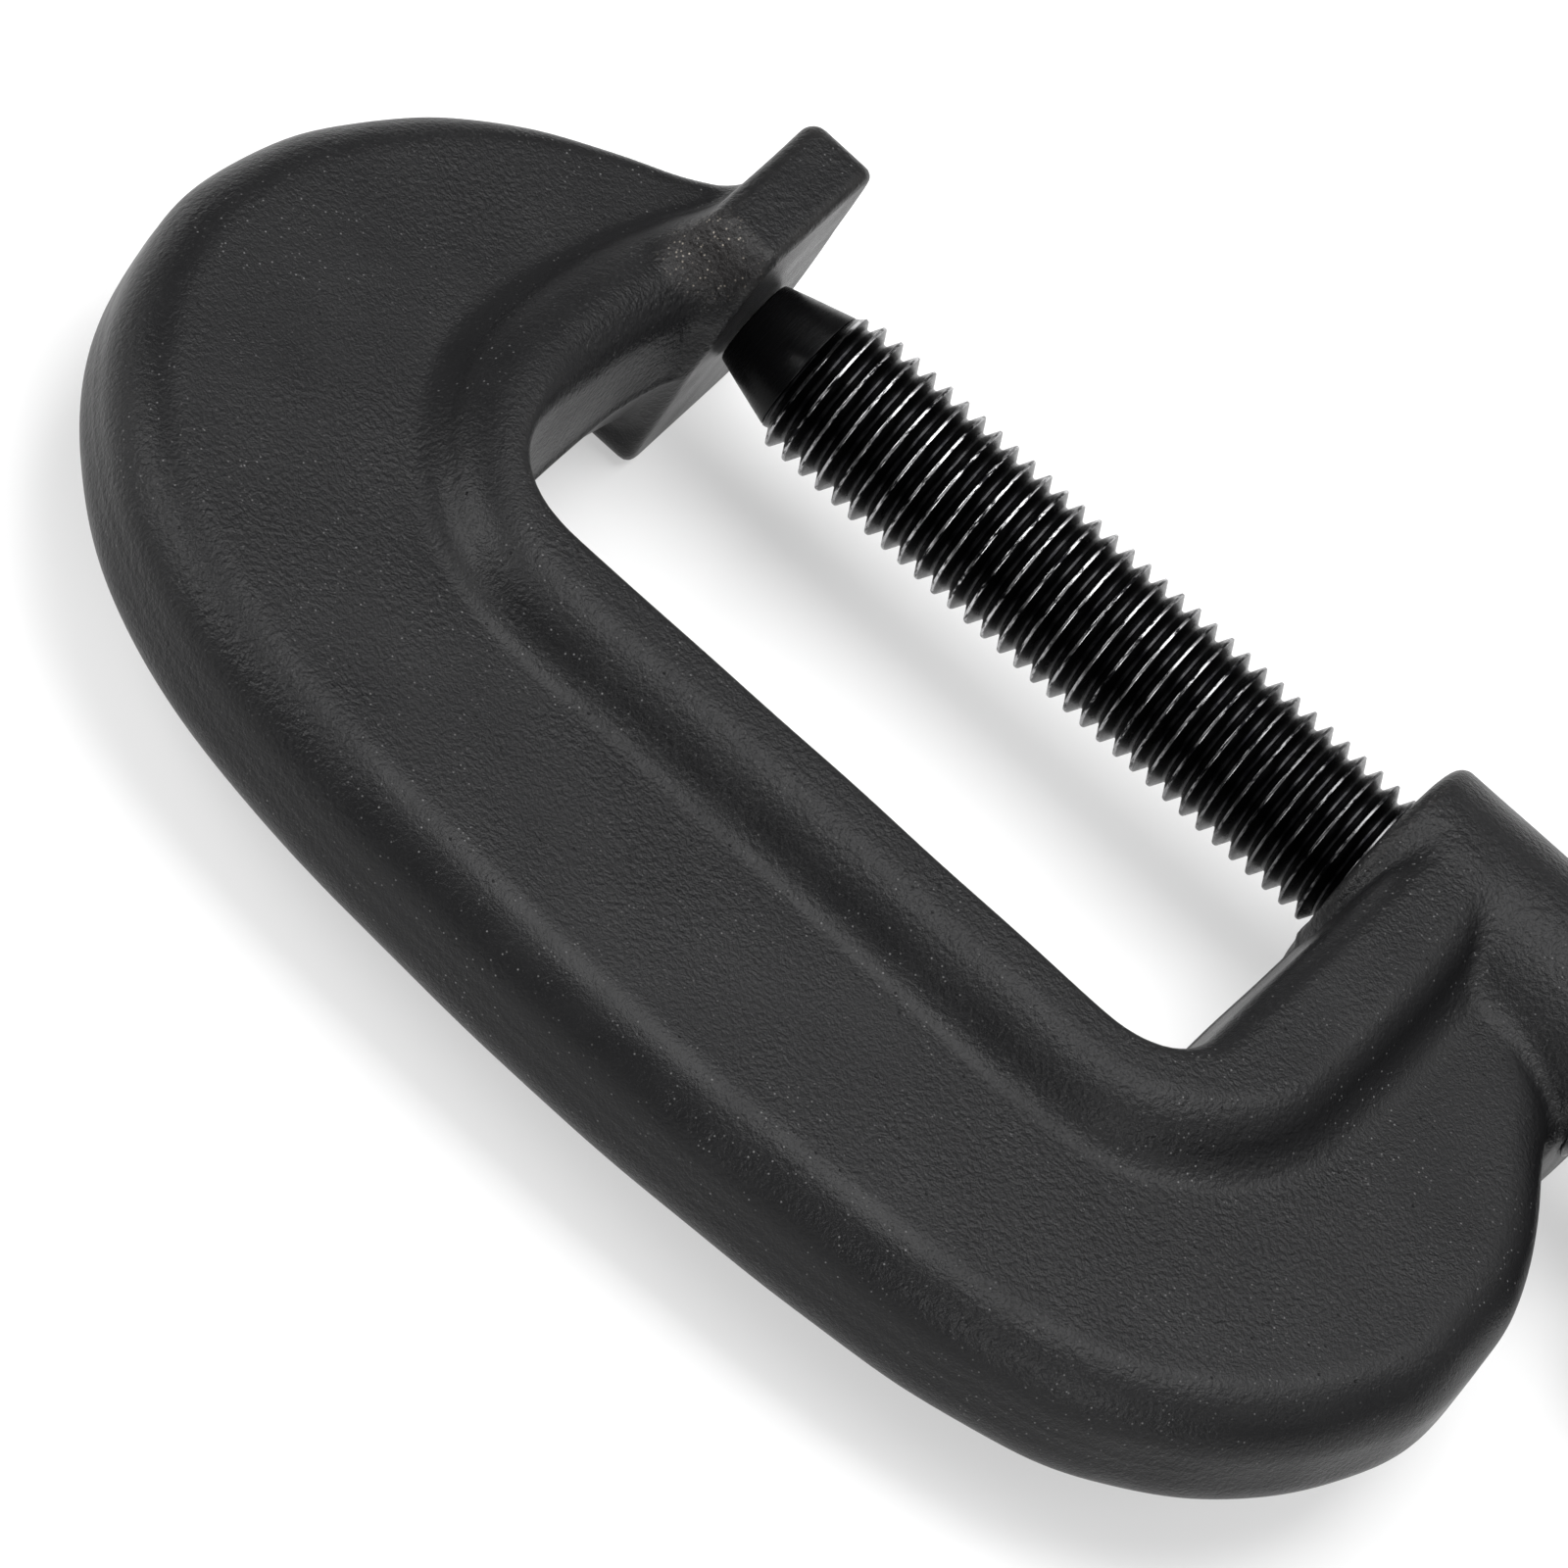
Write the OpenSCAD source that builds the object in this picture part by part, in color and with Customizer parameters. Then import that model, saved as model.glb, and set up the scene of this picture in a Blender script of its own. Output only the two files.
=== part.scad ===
// Drop-forged C-clamp, lying on its side, in millimetres.
// The screw's axis is X, from the anvil's face (X = 0) toward the handle.
// The spine of the frame is toward -Y, and Z is square to the plane of the C.

/* [Frame] */
// distance from the screw's axis to the inner wall of the spine
throat_depth = 56.5; // [45:0.1:70]
// distance from the anvil's face to the hub
jaw_gap = 94.5; // [80:0.5:120]
// depth of the spine, from its inner wall to its back
spine_depth = 52.8; // [36:0.1:60]
// thickness of the flat web
web_thickness = 19.6; // [12:0.2:24]
// width of the rib that runs round the throat
rib_width = 30; // [20:0.5:32]
// depth of the rib, measured away from the throat
rib_depth = 14.5; // [8:0.1:18]
// radius of the throat's upper corner
anvil_corner_r = 9; // [4:0.5:14]
// radius of the throat's lower corner
hub_corner_r = 6; // [4:0.5:14]
// how far the underside of the anvil's arm is cut back behind the anvil's face
arm_relief = 3.3; // [2:0.1:6]

/* [Anvil] */
// length of the anvil block, across the C
anvil_length = 40; // [28:0.5:44]
// width of the anvil block, along the C's opening side
anvil_width = 27; // [20:0.5:32]
// thickness of the anvil block
anvil_thickness = 10.7; // [8:0.1:14]
// radius of the block's four corners
anvil_round = 2.5; // [1:0.5:5]

/* [Hub] */
// diameter of the hub at the throat
hub_d = 32; // [28:0.1:38]
// extra diameter of the hub at its handle end
hub_flare = 1.2; // [0:0.1:3]
// length of the hub
hub_length = 38; // [28:0.5:50]
// chamfer at both ends of the hub
hub_chamfer = 1.6; // [0.5:0.1:3]

/* [Spindle] */
// outside diameter of the screw thread
thread_d = 19.05; // [15.8:0.05:25.4]
// distance between two turns of the thread
thread_pitch = 2.54; // [2:0.01:3.2]
// radial running clearance of the screw in the hub
screw_clearance = 0.08; // [0.05:0.01:0.1]
// gap left between the nose and the anvil when closed
nose_gap = 0.3; // [0.2:0.1:1]
// length of the plain tapered nose
nose_length = 8.4; // [6:0.1:14]
// diameter of the nose's working end
nose_tip_d = 11; // [8:0.1:16]
// length of thread that stands past the hub when closed
thread_past_hub = 10; // [4:0.5:20]
// diameter of the head that holds the tommy bar
head_d = 24; // [20:0.5:30]
// length of the head
head_length = 21; // [16:0.5:30]
// length of the plain neck between the thread and the head
neck_length = 3.5; // [2:0.5:8]

/* [Tommy bar] */
// diameter of the sliding bar
bar_d = 9.5; // [8:0.1:14]
// length of the bar over its knobs
bar_length = 114; // [90:1:160]
// diameter of the two end knobs
knob_d = 15; // [12:0.5:22]
// length of each end knob
knob_length = 11; // [6:0.5:16]

/* [Hidden] */
overlap = 1;                     // how far joined shapes reach into each other
curve_steps = 5;                 // straight lengths in each span of an outline
arc_steps = 6;                   // straight lengths in each throat corner
thread_r = thread_d / 2;
root_r = thread_r - 0.6134 * thread_pitch;   // unified thread, 60 degrees
crest_flat = thread_pitch / 8;
back_y = -(throat_depth + spine_depth);
hub_end = jaw_gap + hub_length;
rib_y = -(throat_depth + rib_depth);
thread_start = nose_gap + nose_length + nose_gap;
turns = floor((hub_end + thread_past_hub - thread_start) / thread_pitch);
thread_end = thread_start + turns * thread_pitch;
head_start = thread_end + neck_length;
bar_x = head_start + head_length / 2;
head_round = 3;
pin_r = 3;                       // the nose's pin in the spindle
pin_length = 14;
bar_slip = 0.08;                 // radial clearance of the bar in the head
knob_socket = 8;                 // how deep the bar stands in each knob
bar_half = bar_length / 2;
// the bar lies pushed out of the spine's side, its inner knob just short of the head
bar_shift = bar_half - knob_length - head_d / 2 - nose_gap;

// turns a shape drawn along Z to lie along X
module along_x() rotate([90, 0, 90]) children();
// turns a shape drawn along Z to lie along Y
module along_y() rotate([-90, 0, 0]) children();

// a smooth line through the points p
function curve_at(a, b, c, d, t) =
  (2 * b + (c - a) * t + (2 * a - 5 * b + 4 * c - d) * t * t
    + (3 * b - 3 * c + d - a) * t * t * t) / 2;
function smooth_line(p) = let (last = len(p) - 1) concat(
  [for (i = [0:last - 1], s = [0:curve_steps - 1])
    curve_at(p[max(i - 1, 0)], p[i], p[i + 1], p[min(i + 2, last)], s / curve_steps)],
  [p[last]]);
// an arc round a centre, from one angle to another
function arc(centre, r, from, to) = [for (s = [0:arc_steps])
  let (a = from + (to - from) * s / arc_steps) centre + r * [cos(a), sin(a)]];
function reversed(p) = [for (i = [len(p) - 1:-1:0]) p[i]];

// the back of the frame, from the anvil's outer side round to the hub's end
back_line = smooth_line([
  [-8, 8], [-12.5, 5.2], [-17, 1.3], [-24.4, -2.8], [-34.9, -9.2], [-43.1, -17.3],
  [-50.6, -30.9], [-53.9, -46], [-53, -58.1], [-49.9, -69.2], [-43.7, -80], [-34.9, -90],
  [-24.8, -97.1], [-13.4, -102.3], [0, back_y + 3.8], [18, back_y + 1.4], [40, back_y],
  [60, back_y], [84, back_y + 1.6], [103, back_y + 4.5], [121, -98.1], [136.1, -84.2],
  [145, -64.4], [144.8, -47], [142.5, -37.6], [138.3, -28.2], [132.5, -18.8], [129, -10],
  [128, 0]]);

// the throat's wall, from the anvil round to the hub
throat_line = concat(
  smooth_line([[-2, -9], [-1, -14], [-2.2, -20], [-arm_relief, -29],
    [-arm_relief, anvil_corner_r - throat_depth]]),
  arc([anvil_corner_r - arm_relief, anvil_corner_r - throat_depth], anvil_corner_r, 180, 270),
  arc([jaw_gap + 1 - hub_corner_r, hub_corner_r - throat_depth], hub_corner_r, 270, 360),
  [[jaw_gap + 1, -12], [jaw_gap + 4, 0]]);

// the outer foot of the rib, from the anvil round to the hub
rib_line = smooth_line([
  [-8, 0], [-11.5, -3], [-14.6, -11], [-17, -22], [-17.8, -34], [-16.8, -46], [-11.5, -58],
  [-2.5, -67.3], [9, rib_y], [30, rib_y], [60, rib_y], [86, rib_y], [99, -69.2], [108.7, -60.6],
  [112.7, -49], [112.8, -30], [111.6, -14], [109, -5], [107, 0]]);

// the web is the flat plate between the throat and the back
module web() linear_extrude(web_thickness, center = true)
  polygon(concat(back_line, reversed(throat_line)));

// the rib stands above the web on both sides
module rib() linear_extrude(rib_width, center = true)
  polygon(concat(rib_line, reversed(throat_line)));

// the block has rounded corners, and its flat working face looks along +X
module anvil_block() translate([-anvil_thickness, 0, 0]) along_x()
  linear_extrude(anvil_thickness) union() {
    square([anvil_width - 2 * anvil_round, anvil_length], center = true);
    square([anvil_width, anvil_length - 2 * anvil_round], center = true);
    for (y = [-1, 1], z = [-1, 1])
      translate([y * (anvil_width / 2 - anvil_round), z * (anvil_length / 2 - anvil_round)])
        circle(anvil_round, $fn = 48);
  }

// a rounded boss that carries the screw
module hub() along_x() rotate_extrude($fn = 96) polygon([
  [0, jaw_gap], [hub_d / 2 - hub_chamfer, jaw_gap], [hub_d / 2, jaw_gap + hub_chamfer],
  [(hub_d + hub_flare) / 2, hub_end - hub_chamfer],
  [(hub_d + hub_flare) / 2 - hub_chamfer, hub_end], [0, hub_end]]);

// the screw's hole, countersunk at both ends
module screw_hole() along_x() union() {
  bore_r = thread_r + screw_clearance;
  sink = 1;
  translate([0, 0, jaw_gap - overlap])
    cylinder(r = bore_r, h = hub_length + 2 * overlap, $fn = 96);
  translate([0, 0, jaw_gap - overlap])
    cylinder(r1 = bore_r + sink + overlap, r2 = bore_r, h = sink + overlap, $fn = 96);
  translate([0, 0, hub_end - sink])
    cylinder(r1 = bore_r, r2 = bore_r + sink + overlap, h = sink + overlap, $fn = 96);
}

// one forging: spine, both arms, rib, anvil block and hub
module frame() color([0.22, 0.22, 0.23]) difference() {
  union() {
    web();
    rib();
    anvil_block();
    hub();
  }
  screw_hole();
}

// the plain tapered end of the screw, with the pin that it turns on
module spindle_nose() color([0.05, 0.05, 0.05]) along_x() rotate_extrude($fn = 96)
  let (tip = nose_gap, base = nose_gap + nose_length) polygon([
    [0, tip], [nose_tip_d / 2 - 0.5, tip], [nose_tip_d / 2, tip + 0.5],
    [nose_tip_d / 2 + 1, tip + nose_length * 0.4], [root_r, base],
    [pin_r, base], [pin_r, base + pin_length], [0, base + pin_length]]);

// the outline of the threaded screw and its head, as distance from the axis against length
function thread_profile() = concat([[0, thread_start], [root_r, thread_start]],
  [for (i = [0:turns - 1], p = [[root_r, 0], [thread_r, thread_pitch / 2 - crest_flat / 2],
      [thread_r, thread_pitch / 2 + crest_flat / 2]])
    [p[0], thread_start + i * thread_pitch + p[1]]],
  [[root_r, thread_end], [root_r, head_start]]);

// the head is a barrel with rounded shoulders
module head() translate([0, 0, head_start]) rotate_extrude($fn = 96) union() {
  square([head_d / 2 - head_round, head_length]);
  translate([0, head_round]) square([head_d / 2, head_length - 2 * head_round]);
  for (z = [head_round, head_length - head_round])
    translate([head_d / 2 - head_round, z]) circle(head_round, $fn = 48);
}

module spindle() color([0.08, 0.08, 0.08]) difference() {
  along_x() union() {
    rotate_extrude($fn = 96) polygon(concat(thread_profile(), [[0, head_start]]));
    head();
  }
  translate([bar_x, 0, 0]) along_y()
    cylinder(r = bar_d / 2 + bar_slip, h = head_d + 2 * overlap, center = true, $fn = 64);
  translate([thread_start - overlap, 0, 0]) along_x()
    cylinder(r = pin_r + screw_clearance, h = pin_length + 2 * overlap, $fn = 48);
}

// the plain sliding bar, without its knobs
module tommy_bar() color([0.12, 0.12, 0.12])
  translate([bar_x, bar_shift, 0]) along_y() cylinder(d = bar_d,
    h = bar_length - 2 * (knob_length - knob_socket), center = true, $fn = 64);

// a round knob with a blind socket, drawn along Z with its open end at zero
module knob() {
  edge = 3;
  difference() {
    rotate_extrude($fn = 96) union() {
      square([knob_d / 2 - edge, knob_length]);
      translate([0, edge]) square([knob_d / 2, knob_length - 2 * edge]);
      for (z = [edge, knob_length - edge])
        translate([knob_d / 2 - edge, z]) circle(edge, $fn = 48);
    }
    translate([0, 0, -overlap]) cylinder(d = bar_d, h = knob_socket + overlap, $fn = 64);
  }
}

module knob_outer() color([0.12, 0.12, 0.12])
  translate([bar_x, bar_shift + bar_half - knob_length, 0]) along_y() knob();
module knob_inner() color([0.12, 0.12, 0.12])
  translate([bar_x, bar_shift - bar_half + knob_length, 0]) mirror([0, 1, 0]) along_y() knob();

frame();
spindle_nose();
spindle();
tommy_bar();
knob_inner();
knob_outer();
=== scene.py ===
"""A drop-forged C-clamp, fully closed, lying on its side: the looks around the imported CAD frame.

Lengths in the shapes below are in millimetres, in the CAD's frame, and become metres when a mesh
is made. X is the screw's axis, from the anvil's face toward the handle, the spine is toward -Y,
and Z is square to the plane of the C.
"""

import math

import bmesh
import bpy
import numpy as np
from mathutils import Matrix, Vector


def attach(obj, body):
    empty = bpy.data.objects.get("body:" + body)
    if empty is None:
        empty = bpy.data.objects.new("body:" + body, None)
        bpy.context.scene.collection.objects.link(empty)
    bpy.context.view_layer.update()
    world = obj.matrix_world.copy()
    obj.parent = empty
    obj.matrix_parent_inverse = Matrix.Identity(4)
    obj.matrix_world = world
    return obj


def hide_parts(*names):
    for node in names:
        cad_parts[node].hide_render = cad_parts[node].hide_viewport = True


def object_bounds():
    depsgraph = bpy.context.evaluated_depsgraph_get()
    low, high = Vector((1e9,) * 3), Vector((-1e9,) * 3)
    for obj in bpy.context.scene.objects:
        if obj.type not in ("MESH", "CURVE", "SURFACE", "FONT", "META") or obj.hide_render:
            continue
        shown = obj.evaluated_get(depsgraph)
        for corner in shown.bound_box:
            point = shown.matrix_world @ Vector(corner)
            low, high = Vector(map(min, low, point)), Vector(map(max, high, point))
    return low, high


MM = 0.001
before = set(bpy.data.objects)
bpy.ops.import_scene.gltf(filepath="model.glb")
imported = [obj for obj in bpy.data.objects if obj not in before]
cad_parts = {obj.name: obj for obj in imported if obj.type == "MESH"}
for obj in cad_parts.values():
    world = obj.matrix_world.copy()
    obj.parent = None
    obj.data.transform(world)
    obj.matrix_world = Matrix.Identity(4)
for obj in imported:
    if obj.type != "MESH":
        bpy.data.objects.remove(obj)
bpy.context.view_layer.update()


# ---------------------------------------------------------------- sizes taken from the CAD frame
def cad_points(node):
    """A CAD node's vertices, in mm."""
    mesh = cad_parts[node].data
    points = np.zeros(len(mesh.vertices) * 3)
    mesh.vertices.foreach_get("co", points)
    return points.reshape(-1, 3) / MM


def section(node, level):
    """The lines where the plane Z = level cuts a CAD node, as an array of (start, end) points."""
    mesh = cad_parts[node].data
    mesh.calc_loop_triangles()
    index = np.zeros(len(mesh.loop_triangles) * 3, np.int32)
    mesh.loop_triangles.foreach_get("vertices", index)
    corners = cad_points(node)[index.reshape(-1, 3)]
    above = corners[:, :, 2] > level
    cut = above.any(1) & ~above.all(1)
    corners, above = corners[cut], above[cut]
    lone = np.where(above.sum(1) == 1, above.argmax(1), above.argmin(1))
    rows = np.arange(len(corners))
    apex = corners[rows, lone]
    ends = []
    for other in (1, 2):
        foot = corners[rows, (lone + other) % 3]
        share = (level - apex[:, 2]) / (foot[:, 2] - apex[:, 2])
        ends.append(apex[:, :2] + (foot - apex)[:, :2] * share[:, None])
    return np.stack(ends, 1)


def runs(lines, reach=0.02):
    """Joins loose lines end to end into runs of points."""
    left = [line for line in lines if np.abs(line[0] - line[1]).max() > 1e-4]
    found = []
    while left:
        run = list(left.pop())
        for side in (0, 1):
            grown = True
            while grown and left:
                tip = run[-1]
                ends = np.array(left)
                gaps = np.abs(ends - tip).max(2)
                line, end = np.unravel_index(gaps.argmin(), gaps.shape)
                grown = gaps[line, end] < reach
                if grown:
                    run.append(left.pop(line)[1 - end])
            run.reverse()
        found.append(np.array(run))
    return found


def outside(lines, box):
    """The lines that don't lie wholly in a box of ((low x, low y), (high x, high y))."""
    low, high = np.array(box[0]) - 0.05, np.array(box[1]) + 0.05
    held = ((lines >= low) & (lines <= high)).all((1, 2))
    return lines[~held]


def highest(points):
    return points[:, 2].max()


cad = cad_points("frame")
BLOCK_HALF = highest(cad)
block_lines = section("frame", BLOCK_HALF - 1)
BLOCK_LOW, BLOCK_HIGH = block_lines.min((0, 1)), block_lines.max((0, 1))
hub_points = cad[(cad[:, 0] > cad[:, 0].mean()) & (cad[:, 1] > 1)]  # nothing else lies there
HUB_START, HUB_END = hub_points[:, 0].min(), hub_points[:, 0].max()
hub_radius = np.hypot(hub_points[:, 1], hub_points[:, 2])
HUB_R1 = hub_radius[hub_points[:, 0] < (HUB_START + HUB_END) / 2].max()
HUB_R2 = hub_radius.max()
BORE_R = hub_radius.min()
WEB_HALF = highest(cad[cad[:, 1] < cad[:, 1].min() + 5])
RIB_HALF = highest(cad[(cad[:, 0] > 20) & (cad[:, 0] < 80) & (cad[:, 1] < -20)])


def free_runs(level):
    """The CAD frame's outlines at a level, without the anvil block's and the hub's own, in order
    of how far they reach toward the spine. Each goes from the anvil to the hub."""
    block_half = BLOCK_HIGH[1] + 1.2        # with room for its draft
    lines = outside(section("frame", level), ((HUB_START, -HUB_R1), (HUB_END, HUB_R2)))
    lines = outside(lines, ((BLOCK_LOW[0], -block_half), (1, block_half)))
    found = [run for run in runs(lines) if len(run) > 5]
    found = [run if run[0, 0] < run[-1, 0] else run[::-1] for run in found]
    return sorted(found, key=lambda run: run[:, 1].min())


def smooth_run(points, start, end, spread=1.8, step=0.5):
    """The same line at even steps, its kinks smoothed over. A straight tail at each end carries
    it on into the anvil block or the hub."""
    points = np.vstack([points[0] + start, points, points[-1] + end])
    length = np.r_[0, np.cumsum(np.hypot(*np.diff(points, axis=0).T))]
    at = np.linspace(0, length[-1], int(length[-1] / step) + 1)
    even = np.stack([np.interp(at, length, points[:, axis]) for axis in (0, 1)], 1)
    reach = int(3 * spread / step)
    weight = np.exp(-0.5 * (np.arange(-reach, reach + 1) * step / spread) ** 2)
    weight /= weight.sum()
    before = even[0] + np.arange(-reach, 0)[:, None] * (even[1] - even[0])
    after = even[-1] + np.arange(1, reach + 1)[:, None] * (even[-1] - even[-2])
    padded = np.vstack([before, even, after])
    return np.stack([np.convolve(padded[:, axis], weight, "valid") for axis in (0, 1)], 1)


def signed_distance(x, y, run):
    """How far points are from a line, positive on the screw's side of it."""
    best = np.full(x.shape, np.inf)
    above = np.zeros(x.shape, bool)
    past_all = cad[:, 1].max() + 100
    closed = np.vstack([run, [run[-1, 0], past_all], [run[0, 0], past_all], run[:1]])
    for k, ((ax, ay), (bx, by)) in enumerate(zip(closed[:-1], closed[1:])):
        dx, dy = bx - ax, by - ay
        if k < len(run) - 1:
            share = np.clip(((x - ax) * dx + (y - ay) * dy) / (dx * dx + dy * dy), 0, 1)
            best = np.minimum(best, (x - ax - share * dx) ** 2 + (y - ay - share * dy) ** 2)
        if ay != by:
            crosses = (ay > y) != (by > y)
            above ^= crosses & (x < ax + (y - ay) / (by - ay) * dx)
    return np.where(above, 1, -1) * np.sqrt(best)


# ---------------------------------------------------------------- solid modelling with distances
def smoothstep(low, high, value):
    share = np.clip((value - low) / (high - low), 0, 1)
    return share * share * (3 - 2 * share)


def mix(a, b, share):
    return a + (b - a) * share


def common(a, b, radius):
    """What two solids share, the edge between them rounded."""
    return (np.minimum(-radius, np.maximum(a, b))
            + np.hypot(np.maximum(a + radius, 0), np.maximum(b + radius, 0)))


def joined(a, b, radius):
    """Two solids together, with a fillet where they meet."""
    return -common(-a, -b, radius)


def surface_net(values, axes):
    """The zero surface of values on a grid: points, and quads that face outward."""
    inside = values < 0
    cells = tuple(n - 1 for n in values.shape)
    corner = {}
    count = np.zeros(cells, np.int8)
    for offset in np.ndindex(2, 2, 2):
        cut = tuple(slice(o, o + n) for o, n in zip(offset, cells))
        corner[offset] = cut
        count += inside[cut]
    active = (count > 0) & (count < 8)
    number = np.full(cells, -1)
    number[active] = np.arange(active.sum())
    where = np.array(np.nonzero(active))
    total, hits = np.zeros((where.shape[1], 3)), np.zeros(where.shape[1])
    for a in corner:
        for axis in range(3):
            if a[axis]:
                continue
            b = tuple(1 if k == axis else a[k] for k in range(3))
            va, vb = values[corner[a]][active], values[corner[b]][active]
            crossed = (va < 0) != (vb < 0)
            share = np.where(crossed, va / np.where(crossed, va - vb, 1), 0)
            ends = [np.stack([axes[k][where[k] + c[k]] for k in range(3)], 1) for c in (a, b)]
            point = ends[0] + (ends[1] - ends[0]) * share[:, None]
            total += point * crossed[:, None]
            hits += crossed
    points = total / hits[:, None]
    quads = []
    for axis in range(3):
        one, two = (axis + 1) % 3, (axis + 2) % 3
        low = [slice(None)] * 3
        high = [slice(None)] * 3
        low[axis], high[axis] = slice(0, -1), slice(1, None)
        for k in (one, two):
            low[k] = high[k] = slice(1, -1)
        first, second = inside[tuple(low)], inside[tuple(high)]
        at = np.array(np.nonzero(first != second))
        at[one] += 1
        at[two] += 1
        outward = first[first != second]
        ring = []
        for da, db in ((-1, -1), (0, -1), (0, 0), (-1, 0)):
            spot = at.copy()
            spot[one] += da
            spot[two] += db
            ring.append(number[tuple(spot)])
        ring = np.stack(ring, 1)
        ring[~outward] = ring[~outward][:, ::-1]
        quads.append(ring)
    return points, np.vstack(quads)


def settled(points, quads, solid, rounds=3, probe=0.04):
    """Evens the points out along the surface and puts each exactly on it; also gives how far
    each then stands out from its neighbours."""
    def onto(p):
        value = solid(p)
        slope = np.stack([solid(p + step) - solid(p - step) for step in np.eye(3) * probe], 1)
        slope /= 2 * probe
        move = slope * (value / np.maximum((slope ** 2).sum(1), 0.05))[:, None]
        size = np.linalg.norm(move, axis=1)
        return p - move * np.minimum(1, 0.4 / np.maximum(size, 1e-9))[:, None], slope

    a, b = quads.ravel(), np.roll(quads, -1, 1).ravel()
    ties = np.bincount(a, minlength=len(points)) + np.bincount(b, minlength=len(points))

    def pull(p, slope):
        """How far off the middle of each point's neighbours is, along the surface and out of it."""
        middle = np.stack([(np.bincount(a, p[b, k], len(p)) + np.bincount(b, p[a, k], len(p)))
                           / ties for k in range(3)], 1)
        normal = slope / np.maximum(np.linalg.norm(slope, axis=1), 1e-9)[:, None]
        out = ((middle - p) * normal).sum(1)
        return middle - p - normal * out[:, None], out

    points, slope = onto(points)
    for _ in range(rounds):
        points, slope = onto(points + pull(points, slope)[0] * 0.5)
    points, slope = onto(points)
    return points, -pull(points, slope)[1]


def new_piece(name, points, faces, body, stands_for=()):
    """A smooth mesh piece from points in mm, riding on a CAD body."""
    mesh = bpy.data.meshes.new(name)
    points = np.asarray(points) * MM
    faces = faces.tolist() if isinstance(faces, np.ndarray) else faces
    mesh.from_pydata(points.tolist(), [], faces)
    mesh.validate()
    mesh.polygons.foreach_set("use_smooth", [True] * len(mesh.polygons))
    piece = bpy.data.objects.new(name, mesh)
    bpy.context.scene.collection.objects.link(piece)
    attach(piece, body)
    if stands_for:
        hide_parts(*stands_for)
    return piece


def add_layer(piece, name, values):
    """Stores a number at each of a piece's points, for its finish."""
    layer = piece.data.attributes.new(name, "FLOAT", "POINT")
    layer.data.foreach_set("value", values)


# ---------------------------------------------------------------- the forged frame
DRAFT = math.tan(math.radians(4))
THROAT_DRAFT = math.tan(math.radians(10.5))
RIB_HALF_AT_ANVIL = RIB_HALF - 1.2
RIB_HALF_AT_SPINE = RIB_HALF + 0.8
SHOULDER_R = 8.5                 # the rib's rounded shoulder, tighter by the hub
SHOULDER_R_AT_HUB = 5.0
HOLLOW_R = 6.0                   # the hollow at its foot, tighter by the anvil
HOLLOW_R_AT_ANVIL = 3.0
CREASE = math.radians(10)        # the hollow meets the web at this angle, less by the hub
CREASE_AT_HUB = math.radians(2)
BACK_EDGE_R = 7.5                # the web's edge, tighter by the anvil
BACK_EDGE_R_AT_ANVIL = 3.0
THROAT_EDGE_R = 1.3              # the rib's edge along the throat, rounder on both arms
THROAT_EDGE_R_AT_HUB = 3.5
THROAT_EDGE_R_AT_ANVIL = 5.0
WEB_END_Y = -1.0                 # the web stops here inside the hub, just short of the screw

# Where one shape of the section gives way to another, from the first place to the second.
ANVIL_X = -5.0                   # the middle of the anvil's arm
ANVIL_GROWTH = (14, 46)          # distances from there over which it becomes the spine's
HUB_ARM_X, HUB_ARM_Y = (60, 85), (-64, -48)
ANVIL_ARM_X, ANVIL_ARM_Y = (22, 4), (-52, -34)

HUB_EDGE_R = 1.8
HUB_FLARE = (HUB_START + 14, HUB_START + 42)     # the hub widens between these
HUB_FILLET_R = 1.2               # where the hub meets the rib, and the web
HUB_FILLET_R_AT_WEB = 2.0
BORE_EDGE_R = 0.9

BLOCK_BACK_X = BLOCK_LOW[0] - 0.2                # the anvil block's foot
BLOCK_SIDE_Y = BLOCK_HIGH[1] + 1.1
BLOCK_CORNER_R, BLOCK_BACK_R = 3.5, 2.0
BLOCK_FILLET_R = 3.0             # where the block meets the arm, rounder at its trimmed corner
BLOCK_FILLET_R_AT_TRIM = 5.0
FACE_EDGE_R = 1.3                # round the anvil's working face
TRIM_SLOPE = 0.6                 # the anvil's near corner by the rib is trimmed at a slant
TRIM_FOOT = 15.6
TRIM_EDGE_R = 2.5

FLASH = 0.25                     # what is left of the forging's parting line, lower on the back
FLASH_ON_BACK = 0.05
FLASH_HALF_WIDTH = 0.5
WAVE = 0.035                     # the forged skin's slow unevenness
GRID = 0.75


class Lookup:
    """Values on an even grid in X and Y, read between its points with Catmull-Rom curves."""

    def __init__(self, xs, ys, values):
        self.x0, self.y0, self.step = xs[0], ys[0], xs[1] - xs[0]
        self.values = values

    @staticmethod
    def weights(t):
        return (((-0.5 * t + 1) * t - 0.5) * t, (1.5 * t - 2.5) * t * t + 1,
                ((-1.5 * t + 2) * t + 0.5) * t, (0.5 * t - 0.5) * t * t)

    def __call__(self, x, y):
        nx, ny = self.values.shape[:2]
        fx = np.clip((x - self.x0) / self.step, 1, nx - 2.001)
        fy = np.clip((y - self.y0) / self.step, 1, ny - 2.001)
        ix, iy = fx.astype(int), fy.astype(int)
        wx, wy = self.weights(fx - ix), self.weights(fy - iy)
        total = 0
        for i in range(4):
            row = 0
            for j in range(4):
                row = row + self.values[ix + i - 1, iy + j - 1] * wy[j][..., None]
            total = total + row * wx[i][..., None]
        return np.moveaxis(total, -1, 0)


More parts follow.
